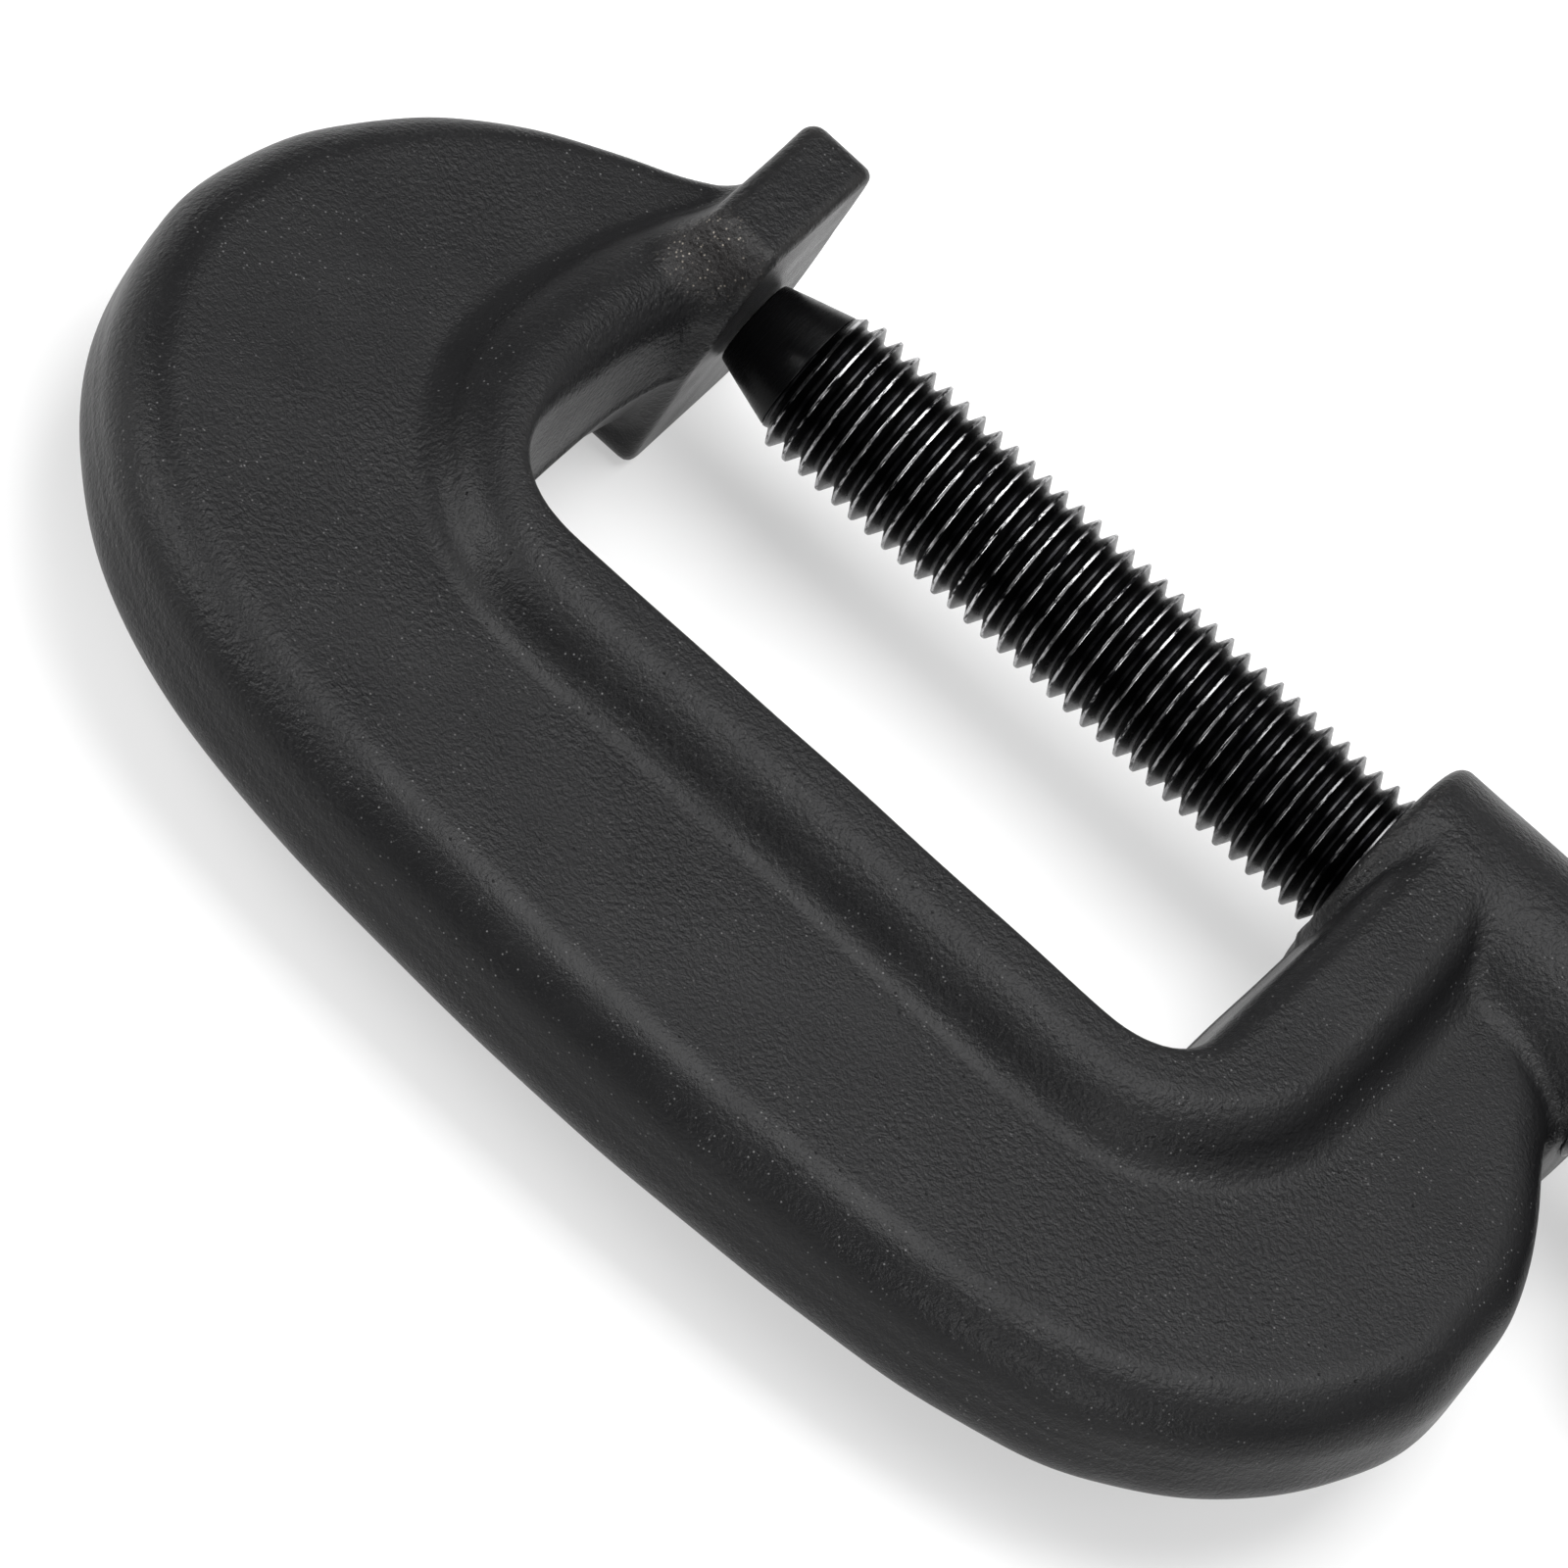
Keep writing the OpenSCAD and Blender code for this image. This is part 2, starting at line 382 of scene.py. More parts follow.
def rib_rise(inward, rise, hollow_r, shoulder_r, crease):
    """Height and slope of the rib's side over the web: inward is the distance from the middle of
    that side toward the throat, and rise the rib's full height there."""
    sunk = hollow_r * (1 - np.cos(crease))
    rise = rise + sunk
    tilt = np.arccos(np.clip(1 - rise / (shoulder_r + hollow_r), 0, 1))
    low, high = -hollow_r * np.sin(tilt), shoulder_r * np.sin(tilt)
    at = np.clip(inward, low, high)
    hollow = hollow_r - np.sqrt(np.maximum(hollow_r ** 2 - (at - low) ** 2, 0))
    shoulder = rise - shoulder_r + np.sqrt(np.maximum(shoulder_r ** 2 - (high - at) ** 2, 0))
    height = np.where(at < 0, hollow, shoulder) - sunk
    lean = np.where(at < 0, (at - low) / hollow_r, (high - at) / shoulder_r)
    lean = np.where(height > 0, lean, 0)
    return np.maximum(height, 0), lean / np.sqrt(1 - np.minimum(lean, 0.95) ** 2)


def forging(p, lines):
    """Signed distance to the frame, where lines holds each point's distance from the back line,
    the throat line and the rib line, positive toward the metal."""
    x, y, z = p
    back, throat, rib = lines
    high = np.abs(z)
    from_anvil = smoothstep(*ANVIL_GROWTH, np.hypot(x - ANVIL_X, y))
    rise = mix(RIB_HALF_AT_ANVIL, RIB_HALF_AT_SPINE, from_anvil) - WEB_HALF
    by_hub = smoothstep(*HUB_ARM_X, x) * smoothstep(*HUB_ARM_Y, y)
    height, slope = rib_rise(rib, rise, mix(HOLLOW_R_AT_ANVIL, HOLLOW_R, from_anvil),
                             mix(SHOULDER_R, SHOULDER_R_AT_HUB, by_hub),
                             mix(CREASE, CREASE_AT_HUB, by_hub))
    top = (high - WEB_HALF - height) / np.sqrt(1 + slope ** 2)
    body = common(top, -back, mix(BACK_EDGE_R_AT_ANVIL, BACK_EDGE_R, from_anvil))
    wall = (high * THROAT_DRAFT - throat) / math.hypot(1, THROAT_DRAFT)
    by_anvil = smoothstep(*ANVIL_ARM_X, x) * smoothstep(*ANVIL_ARM_Y, y)
    edge_r = mix(THROAT_EDGE_R, THROAT_EDGE_R_AT_HUB, by_hub)
    body = common(body, wall, mix(edge_r, THROAT_EDGE_R_AT_ANVIL, by_anvil))
    near_hub = x > 80
    body = np.where(near_hub, common(body, y - WEB_END_Y, 2), body)

    barrel = np.hypot(y, z) - mix(HUB_R1, HUB_R2, smoothstep(*HUB_FLARE, x))
    hub = common(barrel, np.maximum(HUB_START - x, x - HUB_END), HUB_EDGE_R)
    on_rib = np.clip(height / rise, 0, 1)
    body = joined(body, hub, mix(HUB_FILLET_R_AT_WEB, HUB_FILLET_R, on_rib))

    near_block = x < 30
    outer = BLOCK_BACK_X + DRAFT * high - x
    sides = np.abs(y) - (BLOCK_SIDE_Y - DRAFT * high)
    trimmed = (TRIM_SLOPE * (z - RIB_HALF) - y - TRIM_FOOT) / math.hypot(1, TRIM_SLOPE)
    block = common(common(sides, high - BLOCK_HALF, BLOCK_CORNER_R), outer, BLOCK_BACK_R)
    block = np.maximum(common(block, trimmed, TRIM_EDGE_R), x - 4)
    by_trim = smoothstep(6, 13, z) * smoothstep(-4, -10, y)
    fillet = mix(BLOCK_FILLET_R, BLOCK_FILLET_R_AT_TRIM, by_trim)
    body = np.where(near_block, joined(body, block, fillet), body)

    flash = mix(FLASH_ON_BACK, FLASH, smoothstep(6, 14, back))
    flash = flash * np.exp(-(z / FLASH_HALF_WIDTH) ** 2)
    flash = flash * smoothstep(0.5, 2, np.hypot(y, z) - BORE_R)
    flash = flash * smoothstep(0.2, 1.5, np.where(near_block & (y > -16), -x, HUB_END - x))
    wave = (np.sin(x * 0.21 + 1.3) * np.sin(y * 0.17 + z * 0.12)
            + np.sin(x * 0.11 - y * 0.23 + 2.1) + np.sin(y * 0.31 + x * 0.27))
    body = body - flash - WAVE * wave
    body = np.where(near_block & (y > -30), common(body, x, FACE_EDGE_R), body)
    return np.where(near_hub, common(body, BORE_R - np.hypot(y, z), BORE_EDGE_R), body)


def forged_frame():
    """The frame in one piece. Its grid is finer across the parting line, where the flash is."""
    margin = 2.6
    low, high = cad.min(0) - margin, cad.max(0) + margin
    xs = np.arange(low[0], high[0] + GRID, GRID)
    ys = np.arange(low[1], high[1] + GRID, GRID)
    up = np.r_[0, 0.3, 0.6, 1, 1.5, np.arange(2.1, high[2] + GRID, GRID)]
    zs = np.r_[-up[:0:-1], up]
    back, throat = free_runs(WEB_HALF / 2)
    rib = free_runs((WEB_HALF + RIB_HALF) / 2)[0]
    back = smooth_run(back, (12, 0), (-8, 8))
    throat = smooth_run(throat, (3, 14), (0, 14))
    rib = smooth_run(rib, (9, 9), (-2.5, 14), spread=2.5)
    gx, gy = np.meshgrid(xs, ys, indexing="ij")
    lines = np.stack([signed_distance(gx, gy, back), -signed_distance(gx, gy, throat),
                      signed_distance(gx, gy, rib)])
    values = np.stack([forging((gx, gy, np.full_like(gx, z)), lines) for z in zs], -1)
    lookup = Lookup(xs, ys, np.moveaxis(lines, 0, -1))
    points, quads = surface_net(values, (xs, ys, zs))

    def solid(p):
        return forging(p.T, lookup(p[:, 0], p[:, 1]))

    points, proud = settled(points, quads, solid)
    piece = new_piece("forged_frame", points, quads, "frame_body", ["frame"])
    add_layer(piece, "edge", smoothstep(0.1, 0.7, proud * 4 / GRID ** 2))
    return piece


# ---------------------------------------------------------------- the screw, its nose and the bar
def corner_arcs(corners, steps=7):
    """A turned profile from corners of (along, radius, rounding), as a list of points."""
    points = [np.array(corners[0][:2], float)]
    for before, here, after in zip(corners, corners[1:], corners[2:]):
        tip, rounding = np.array(here[:2], float), here[2]
        back = np.array(before[:2]) - tip
        ahead = np.array(after[:2]) - tip
        back, ahead = back / np.hypot(*back), ahead / np.hypot(*ahead)
        half = math.acos(np.clip(back @ ahead, -1, 1)) / 2
        if rounding == 0 or abs(half - math.pi / 2) < 0.02:
            points.append(tip)
            continue
        middle = tip + (back + ahead) / np.hypot(*(back + ahead)) * rounding / math.sin(half)
        start = tip + back * rounding / math.tan(half) - middle
        end = tip + ahead * rounding / math.tan(half) - middle
        first = math.atan2(start[1], start[0])
        turn = (math.atan2(end[1], end[0]) - first + math.pi) % (2 * math.pi) - math.pi
        for angle in first + np.linspace(0, 1, steps) * turn:
            points.append(middle + rounding * np.array([math.cos(angle), math.sin(angle)]))
    points.append(np.array(corners[-1][:2], float))
    return points


def turned(name, corners, body, stands_for=(), along=0, at=(0, 0, 0), segments=128):
    """A turned piece about a line through a point, along X (0) or Y (1). Its first and last
    corners are on that line."""
    profile = corner_arcs(corners)
    angle = np.arange(segments) * 2 * math.pi / segments
    across = [axis for axis in range(3) if axis != along]
    points = np.zeros((len(profile) - 2, segments, 3))
    for row, (place, radius) in zip(points, profile[1:-1]):
        row[:, along] = place
        row[:, across[0]] = radius * np.cos(angle)
        row[:, across[1]] = radius * np.sin(angle)
    points = points.reshape(-1, 3) + at
    tips = np.zeros((2, 3)) + at
    tips[0, along] += profile[0][0]
    tips[1, along] += profile[-1][0]
    faces = []
    rows = len(profile) - 2
    for k in range(rows - 1):
        for j in range(segments):
            i = (j + 1) % segments
            faces.append([k * segments + j, k * segments + i,
                          (k + 1) * segments + i, (k + 1) * segments + j])
    last = (rows - 1) * segments
    for j in range(segments):
        i = (j + 1) % segments
        faces.append([i, j, rows * segments])
        faces.append([last + j, last + i, rows * segments + 1])
    if along == 1:
        faces = [face[::-1] for face in faces]
    piece = new_piece(name, np.vstack([points, tips]), faces, body, stands_for)
    piece.data.set_sharp_from_angle(angle=math.radians(35))
    return piece


spindle = cad_points("spindle")
nose = cad_points("spindle_nose")
bar = cad_points("tommy_bar")
knobs = {name: cad_points(name) for name in ("knob_inner", "knob_outer")}
off_axis = np.hypot(spindle[:, 1], spindle[:, 2])
BAR_R = np.ptp(bar[:, 0]) / 2
HEAD_R = off_axis.max()
THREAD_R = off_axis[spindle[:, 0] < HUB_END].max()
SCREW_START, HEAD_END = spindle[:, 0].min(), spindle[:, 0].max()
THREAD_END = spindle[np.abs(off_axis - THREAD_R) < 0.01][:, 0].max()
HEAD_START = spindle[(spindle[:, 0] > THREAD_END + 1) & (off_axis > BAR_R)][:, 0].min()
PITCH = 25.4 / 10                # ten threads to the inch
FLANK = math.tan(math.radians(60 / 2))
ROOT_R = THREAD_R - 0.6134 * PITCH
CREST_AT = 9.3                   # one place where the thread's crest crosses the +Y side
START_X, START_R = 9.2, 8.1      # where the thread's starting bevel begins, and its radius there
START_SLOPE = 1.1
BEVEL = 0.02                     # how far the crest's two edges are turned down


def thread_mesh():
    """The screw's thread: one right-hand helix, longer than needed at both ends. Also gives
    which of its points are on the crest."""
    crest = PITCH / 16
    foot = crest + (THREAD_R - ROOT_R) * FLANK
    side = [(crest * 0.6, THREAD_R), (crest, THREAD_R - BEVEL),
            (crest + 0.1, THREAD_R - BEVEL - 0.1 / FLANK),
            ((crest + foot) / 2, (THREAD_R + ROOT_R) / 2), (foot - 0.07, ROOT_R + 0.1),
            (foot + 0.08, ROOT_R)]
    profile = side + [(PITCH - place, radius) for place, radius in side[::-1]]
    segments = 96
    first = math.floor((SCREW_START - CREST_AT) / PITCH) - 2
    last = math.ceil((HEAD_START - CREST_AT) / PITCH) + 3
    turn = np.arange(segments) * 2 * math.pi / segments
    rows, wear = [], []
    for k in range(first, last):
        for place, radius in profile:
            x = CREST_AT + k * PITCH + place + PITCH * turn / (2 * math.pi)
            reach = np.minimum(radius, START_R + np.maximum(x - START_X, 0) * START_SLOPE)
            fade = smoothstep(THREAD_END + 1.5, THREAD_END - PITCH, x)
            reach = np.maximum(ROOT_R, ROOT_R + (reach - ROOT_R) * fade)
            rows.append(np.stack([x, reach * np.cos(turn), reach * np.sin(turn)], 1))
            wear.append(np.full(segments, float(radius > THREAD_R - 2 * BEVEL)))
    faces = []
    for j in range(len(rows) - 1 - len(profile)):
        for i in range(segments):
            low, high = j * segments + i, (j + 1) * segments + i
            if i < segments - 1:
                faces.append([low + 1, high + 1, high, low])
            else:
                ahead = (j + len(profile)) * segments
                faces.append([ahead, ahead + segments, high, low])
    return np.vstack(rows), faces, np.concatenate(wear)


def cut_square(piece, low, high):
    """Cuts a piece off at two places along X, in mm, and closes the ends."""
    work = bmesh.new()
    work.from_mesh(piece.data)
    for place, side in ((low, -1), (high, 1)):
        everything = work.verts[:] + work.edges[:] + work.faces[:]
        cut = bmesh.ops.bisect_plane(work, geom=everything, dist=1e-7,
                                     plane_co=(place * MM, 0, 0), plane_no=(side, 0, 0),
                                     clear_outer=True)
        rim = [item for item in cut["geom_cut"] if isinstance(item, bmesh.types.BMEdge)]
        bmesh.ops.holes_fill(work, edges=rim)
    loose = [vert for vert in work.verts if not vert.link_faces]
    bmesh.ops.delete(work, geom=loose, context="VERTS")
    work.to_mesh(piece.data)
    work.free()


def screw_thread():
    """The threaded part of the screw, cut square at its nose and inside the head."""
    points, faces, wear = thread_mesh()
    piece = new_piece("spindle_thread", points, faces, "screw_body", ["spindle"])
    add_layer(piece, "wear", wear)
    cut_square(piece, SCREW_START, HEAD_START + 1)
    piece.data.set_sharp_from_angle(angle=math.radians(25))
    return piece


def spindle_head():
    """The barrel that the bar slides through, with its neck."""
    bar_x = (bar[:, 0].min() + bar[:, 0].max()) / 2
    hole_r = BAR_R + 0.08

    def solid(p):
        x, y, z = p.T
        radius = np.hypot(y, z)
        middle, half = (HEAD_START + HEAD_END) / 2, (HEAD_END - HEAD_START) / 2
        barrel = common(radius - HEAD_R, np.abs(x - middle) - half, 3.0)
        neck = common(radius - ROOT_R - 0.02, THREAD_END - x, 0.5)
        neck = np.maximum(neck, x - middle)
        hole = hole_r - np.hypot(x - bar_x, z)
        return common(joined(barrel, neck, 1.5), hole, 0.9)

    step, margin = 0.5, 1.1
    xs = np.arange(THREAD_END - margin, HEAD_END + margin, step)
    ys = np.arange(-HEAD_R - margin, HEAD_R + margin, step)
    grid = np.stack(np.meshgrid(xs, ys, ys, indexing="ij"), -1)
    values = solid(grid.reshape(-1, 3)).reshape(grid.shape[:3])
    points, quads = surface_net(values, (xs, ys, ys))
    points, proud = settled(points, quads, solid)
    piece = new_piece("spindle_head", points, quads, "screw_body")
    add_layer(piece, "wear", smoothstep(0.3, 1.2, proud * 4 / step ** 2) * 0.6)
    return piece


def spindle_nose():
    """The plain nose in the thread's end, its end face just off the anvil. It widens slowly at
    first and then faster."""
    tip, radius = nose[:, 0].min(), np.hypot(nose[:, 1], nose[:, 2])
    tip_r = radius[nose[:, 0] < tip + 1].max()
    end = SCREW_START - 0.1
    corners = [(tip, 0, 0), (tip, tip_r, 0.5), (tip + 3.2, tip_r + 1.0, 3),
               (end, ROOT_R + 0.1, 0.15), (end, 0, 0)]
    return turned("nose", corners, "nose_body", ["spindle_nose"])


def tommy_bar():
    """The sliding bar."""
    middle, half = (bar.max(0) + bar.min(0)) / 2, (bar.max(0) - bar.min(0)) / 2
    corners = [(-half[1], 0, 0), (-half[1], half[0], 0.6), (half[1], half[0], 0.6),
               (half[1], 0, 0)]
    return turned("bar", corners, "bar_body", ["tommy_bar"], along=1, at=middle)


def end_knob(node):
    """A knob pressed on one end of the bar, its rim rounded and its outer face domed."""
    low, high = knobs[node].min(0), knobs[node].max(0)
    middle, radius = (low + high) / 2, (high[0] - low[0]) / 2
    outward = 1 if middle[1] > bar[:, 1].mean() else -1
    half = (high[1] - low[1]) / 2
    neck = radius - 2.2
    corners = [(-half, 0, 0), (-half, neck, 0.7), (-half + 1.6, neck + 0.7, 0.8),
               (-half + 2.2, radius, 1.4), (half - 2.4, radius, 2.2), (half - 0.4, radius - 3.2, 3),
               (half, 0, 0)]
    corners = [(outward * along, r, rounding) for along, r, rounding in corners][::outward]
    return turned(node + "_turned", corners, "bar_body", [node], along=1, at=middle)


# ---------------------------------------------------------------- finishes
class Finish:
    """A new material: its shader, and short ways to add nodes to it."""

    def __init__(self, name, **plain):
        self.material = bpy.data.materials.new(name)
        self.material.use_nodes = True
        self.tree = self.material.node_tree
        self.shader = self.tree.nodes["Principled BSDF"]
        for socket, value in plain.items():
            self.shader.inputs[socket.replace("_", " ")].default_value = value
        self.place = self.add("TexCoord").outputs["Object"]

    def add(self, kind, values=(), **settings):
        node = self.tree.nodes.new("ShaderNode" + kind)
        for key, value in settings.items():
            setattr(node, key, value)
        for socket, value in values:
            if isinstance(value, bpy.types.NodeSocket):
                self.tree.links.new(value, node.inputs[socket])
            else:
                node.inputs[socket].default_value = value
        return node

    def link(self, value, socket):
        self.tree.links.new(value, self.shader.inputs[socket])

    def noise(self, size, detail=3.0, roughness=0.5, place=None, seed=0.0):
        """Noise whose features are about a size in mm."""
        node = self.add("TexNoise", [("Vector", place or self.place), ("W", seed),
                                     ("Scale", 1 / (size * MM)), ("Detail", detail),
                                     ("Roughness", roughness)], noise_dimensions="4D")
        return node.outputs["Fac"]

    def specks(self, spacing, radius, share):
        """Round dots, one in some cells of a size in mm: 1 inside a dot and 0 outside."""
        node = self.add("TexVoronoi", [("Vector", self.place), ("Scale", 1 / (spacing * MM))])
        dot = self.remap(node.outputs["Distance"], radius / spacing, 0, 0, 1)
        chance = self.add("SeparateColor", [("Color", node.outputs["Color"])]).outputs["Red"]
        return self.maths("MULTIPLY", dot, self.maths("GREATER_THAN", chance, 1 - share))

    def maths(self, operation, first, second):
        return self.add("Math", [(0, first), (1, second)], operation=operation).outputs[0]

    def remap(self, value, low, high, to_low, to_high):
        node = self.add("MapRange", [("Value", value), ("From Min", low), ("From Max", high),
                                     ("To Min", to_low), ("To Max", to_high)])
        return node.outputs["Result"]

    def attribute(self, name):
        return self.add("Attribute", attribute_name=name).outputs["Fac"]

    def near(self, middle, reach):
        """1 at a place in mm, falling to 0 at the edge of an ellipsoid of half-sizes reach."""
        shift = self.add("VectorMath", [(0, self.place), (1, [c * MM for c in middle])],
                         operation="SUBTRACT").outputs[0]
        scaled = self.add("VectorMath", [(0, shift), (1, [1 / (r * MM) for r in reach])],
                          operation="MULTIPLY").outputs[0]
        length = self.add("VectorMath", [(0, scaled)], operation="LENGTH").outputs["Value"]
        return self.remap(length, 1.0, 0.45, 0.0, 1.0)

    def mix(self, share, first, second):
        node = self.add("Mix", [("Factor", share)], data_type="RGBA")
        for socket, value in ((6, first), (7, second)):         # its two colour sockets
            if isinstance(value, bpy.types.NodeSocket):
                self.tree.links.new(value, node.inputs[socket])
            else:
                node.inputs[socket].default_value = (*value, 1)
        return node.outputs[2]

    def bump(self, height, depth):
        """A bump whose height from 0 to 1 stands for a depth in mm."""
        node = self.add("Bump", [("Height", height), ("Distance", depth * MM)])
        self.link(node.outputs["Normal"], "Normal")


def frame_paint():
    """Satin black paint over a forging: its scale and pits show through, with a few pale specks,
    thin paint on the tighter edges, and rough lighter metal where the anvil was trimmed, with
    painted
    highlights there: pale dots in its colour that stand in for glints of light."""
    f = Finish("frame_paint", Specular_IOR_Level=0.18)
    trimmed = f.near((-6.5, -13.5, BLOCK_HALF - 3), (7.5, 6.5, 5.5))
    pebbled = f.remap(f.noise(28, 2), 0.40, 0.60, 0.35, 1.0)
    pebbled = f.maths("ADD", pebbled, trimmed)
    pebbles = f.maths("MULTIPLY", f.noise(0.75, 3, 0.55), pebbled)
    grain = f.maths("MULTIPLY", f.noise(0.3, 2, 0.6), 0.3)
    pits = f.maths("MULTIPLY", f.specks(1.7, 0.22, 0.3), -0.6)
    f.bump(f.maths("ADD", f.maths("ADD", pebbles, grain), pits), 0.28)
    dusty = f.remap(f.noise(17, 2, seed=4.0), 0.45, 0.62, 0.25, 1.0)
    pale = f.maths("MULTIPLY", f.specks(0.75, 0.15, 0.4), dusty)
    # painted highlight: pale dots in the trimmed patch's colour stand in for glints of light
    painted_glints = f.maths("MULTIPLY", f.specks(0.45, 0.16, 0.3), trimmed)
    worn = f.maths("MULTIPLY", f.attribute("edge"), f.remap(f.noise(3, 3), 0.35, 0.7, 0.2, 1.0))
    tone = f.mix(f.noise(12, 3), (0.0042, 0.0042, 0.0047), (0.0062, 0.0062, 0.0066))
    tone = f.mix(f.maths("MULTIPLY", worn, 0.6), tone, (0.020, 0.019, 0.018))
    tone = f.mix(trimmed, tone, (0.016, 0.015, 0.015))
    tone = f.mix(pale, tone, (0.17, 0.17, 0.17))
    # the trimmed patch's painted glints, a highlight put into the colour
    tone = f.mix(painted_glints, tone, (0.32, 0.29, 0.25))
    f.link(tone, "Base Color")
    f.link(f.remap(f.noise(6, 4), 0.3, 0.7, 0.31, 0.40), "Roughness")
    return f.material


def spindle_steel():
    """Black-oxide steel, rubbed bright in broken streaks along the thread's crests."""
    f = Finish("spindle_steel", Metallic=1.0)
    along = f.add("Mapping", [("Vector", f.place), ("Scale", (3.0, 0.6, 0.6))]).outputs[0]
    streaks = f.noise(1.6, 4, 0.7, place=along)
    patchy = f.remap(f.noise(16, 2, seed=2.0), 0.36, 0.55, 0.7, 1.0)
    rubbed = f.maths("MULTIPLY", f.attribute("wear"), f.remap(streaks, 0.44, 0.53, 0.0, 1.0))
    from_anvil = f.add("SeparateXYZ", [("Vector", f.place)]).outputs["X"]
    patchy = f.maths("MULTIPLY", patchy, f.remap(from_anvil, 0.045, 0.08, 1.0, 0.2))
    rubbed = f.maths("MULTIPLY", rubbed, patchy)
    tone = f.mix(f.remap(streaks, 0.4, 0.6, 0, 1), (0.006, 0.006, 0.007), (0.026, 0.026, 0.027))
    f.link(f.mix(rubbed, tone, (0.52, 0.52, 0.53)), "Base Color")
    f.link(f.remap(streaks, 0.3, 0.7, 0.36, 0.24), "Roughness")
    f.bump(f.noise(0.3, 3, 0.6), 0.02)
    return f.material


def nose_steel():
    """Glossy black nose with faint turning marks."""
    f = Finish("nose_steel", Specular_IOR_Level=0.09)
    turning = f.add("Mapping", [("Vector", f.place), ("Scale", (6.0, 0.5, 0.5))]).outputs[0]
    f.link(f.mix(f.noise(3, 3), (0.0018, 0.0018, 0.0020), (0.0028, 0.0028, 0.0030)), "Base Color")
    f.link(f.remap(f.noise(1.5, 3, place=turning), 0.3, 0.7, 0.2, 0.34), "Roughness")
    f.bump(f.noise(0.5, 3, place=turning), 0.012)
    return f.material


def handle_steel(name, marks, metallic, dark, light):
    """Black handle steel, with marks along the bar or round a knob, and rubbed patches."""
    f = Finish(name, Metallic=metallic)
    drawn = f.add("Mapping", [("Vector", f.place), ("Scale", marks)]).outputs[0]
    rubbed = f.remap(f.noise(7, 5, 0.6), 0.5, 0.72, 0.0, 1.0)
    f.link(f.mix(rubbed, dark, light), "Base Color")
    f.link(f.remap(f.noise(0.9, 3, place=drawn), 0.3, 0.7, 0.24, 0.38), "Roughness")
    f.bump(f.maths("ADD", f.noise(0.4, 3, 0.6, place=drawn), f.maths(
        "MULTIPLY", f.specks(3.5, 0.5, 0.25), -0.6)), 0.03)
    return f.material


# ---------------------------------------------------------------- camera, floor and light
TURN = math.radians(44.5)        # the C's plane is turned this far about the screw
LIFT = math.radians(5.5)         # the camera stands this far toward the handle's end
ROLL = math.radians(41.8)        # the screw runs down across the picture at this angle
DISTANCE = 8.0
VIEW_WIDTH = 0.1788              # width of the picture at the object
AIM = (0.03806, 0.03698)         # along the screw, and square to it as the camera sees it
LIGHTS_MEET = Vector((0.045, -0.045, 0))
LIGHTS_AWAY = 0.9
FLOOR_REACH = 6


def set_camera():
    """A camera with a very long lens. Along, across and toward are the screw's direction, the
    one square to it and the one to the camera, as the camera sees them."""
    along = Vector((math.cos(LIFT), math.sin(TURN) * math.sin(LIFT),
                    -math.cos(TURN) * math.sin(LIFT)))
    across = Vector((0, -math.cos(TURN), -math.sin(TURN)))
    toward = Vector((math.sin(LIFT), -math.cos(LIFT) * math.sin(TURN),
                     math.cos(LIFT) * math.cos(TURN)))
    right = math.cos(ROLL) * along - math.sin(ROLL) * across
    up = -(math.sin(ROLL) * along + math.cos(ROLL) * across)
    lens = bpy.data.cameras.new("camera")
    lens.sensor_width = 36
    lens.lens = lens.sensor_width * DISTANCE / VIEW_WIDTH
    lens.clip_end = 4 * DISTANCE
    camera = bpy.data.objects.new("camera", lens)
    stand = Matrix((right, up, toward)).transposed().to_4x4()
    stand.translation = AIM[0] * along + AIM[1] * across + toward * DISTANCE
    camera.matrix_world = stand
    bpy.context.scene.collection.objects.link(camera)
    bpy.context.scene.camera = camera


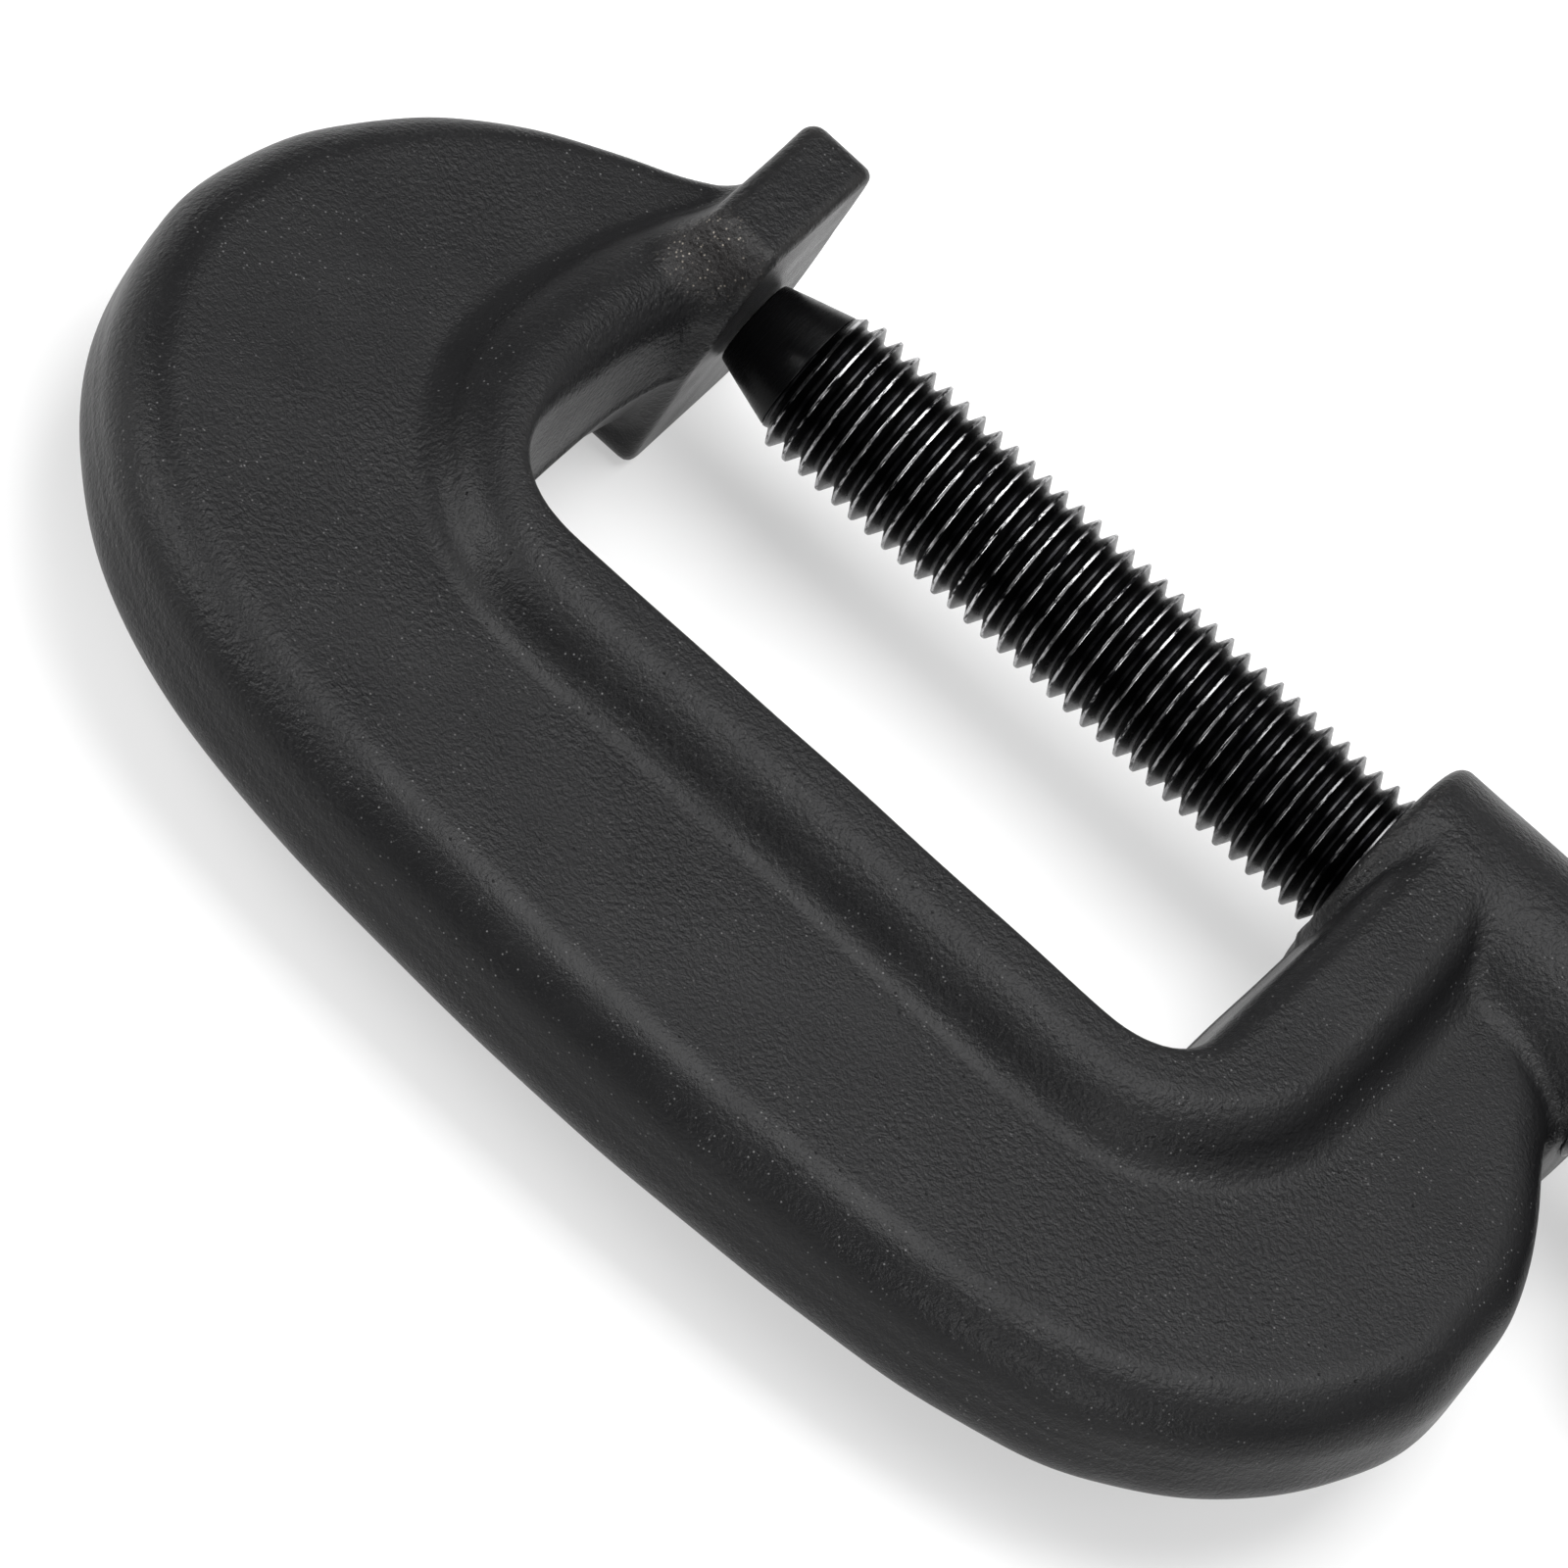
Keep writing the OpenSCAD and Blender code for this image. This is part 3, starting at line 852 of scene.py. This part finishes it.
def softbox(name, lean, heading, size, power):
    """A square soft light aimed at the object: lean is its angle off the vertical in degrees,
    toward a heading in degrees from +X."""
    lean, heading = math.radians(lean), math.radians(heading)
    way = Vector((math.cos(heading) * math.sin(lean), math.sin(heading) * math.sin(lean),
                  math.cos(lean)))
    lamp = bpy.data.lights.new(name, "AREA")
    lamp.size = size
    lamp.energy = power
    holder = bpy.data.objects.new(name, lamp)
    holder.location = LIGHTS_MEET + way * LIGHTS_AWAY
    holder.rotation_euler = way.to_track_quat("Z", "Y").to_euler()
    bpy.context.scene.collection.objects.link(holder)


def set_light():
    softbox("overhead", 9, 90, 0.75, 10.5)
    softbox("screw_side", 46, 65, 0.6, 1.5)
    softbox("hub_side", 50, 0, 0.4, 1.1)
    softbox("anvil_side", 60, 206, 0.5, 6.4)
    softbox("spine_side", 66, 305, 0.4, 3.8)
    world = bpy.data.worlds.new("studio")
    world.use_nodes = True
    sky = world.node_tree.nodes["Background"]
    sky.inputs["Color"].default_value = (1, 1, 1, 1)
    sky.inputs["Strength"].default_value = 0.27
    bpy.context.scene.world = world
    bpy.context.scene.view_settings.view_transform = "Standard"


def pale_floor():
    """A white floor that is lit from below as well, as a light table is, so shadows stay weak."""
    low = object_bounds()[0][2]
    mesh = bpy.data.meshes.new("floor")
    corners = [(x * FLOOR_REACH, y * FLOOR_REACH, low) for x, y in
               ((-1, -1), (1, -1), (1, 1), (-1, 1))]
    mesh.from_pydata(corners, [], [(0, 1, 2, 3)])
    floor = bpy.data.objects.new("floor", mesh)
    bpy.context.scene.collection.objects.link(floor)
    f = Finish("floor", Roughness=0.9, Base_Color=(0.45, 0.45, 0.45, 1),
               Emission_Color=(1, 1, 1, 1), Emission_Strength=0.45)
    mesh.materials.append(f.material)


# ---------------------------------------------------------------- the whole scene
set_camera()
pale_floor()
set_light()
steel = spindle_steel()
knob = handle_steel("knob_steel", (1, 1, 1), 0.9, (0.020, 0.020, 0.021), (0.05, 0.05, 0.052))
rod = handle_steel("bar_steel", (2, 0.1, 2), 1.0, (0.030, 0.030, 0.032), (0.10, 0.10, 0.105))
for piece, material in ((forged_frame(), frame_paint()), (screw_thread(), steel),
                        (spindle_head(), steel), (spindle_nose(), nose_steel()),
                        (end_knob("knob_inner"), knob), (end_knob("knob_outer"), knob),
                        (tommy_bar(), rod)):
    piece.data.materials.append(material)
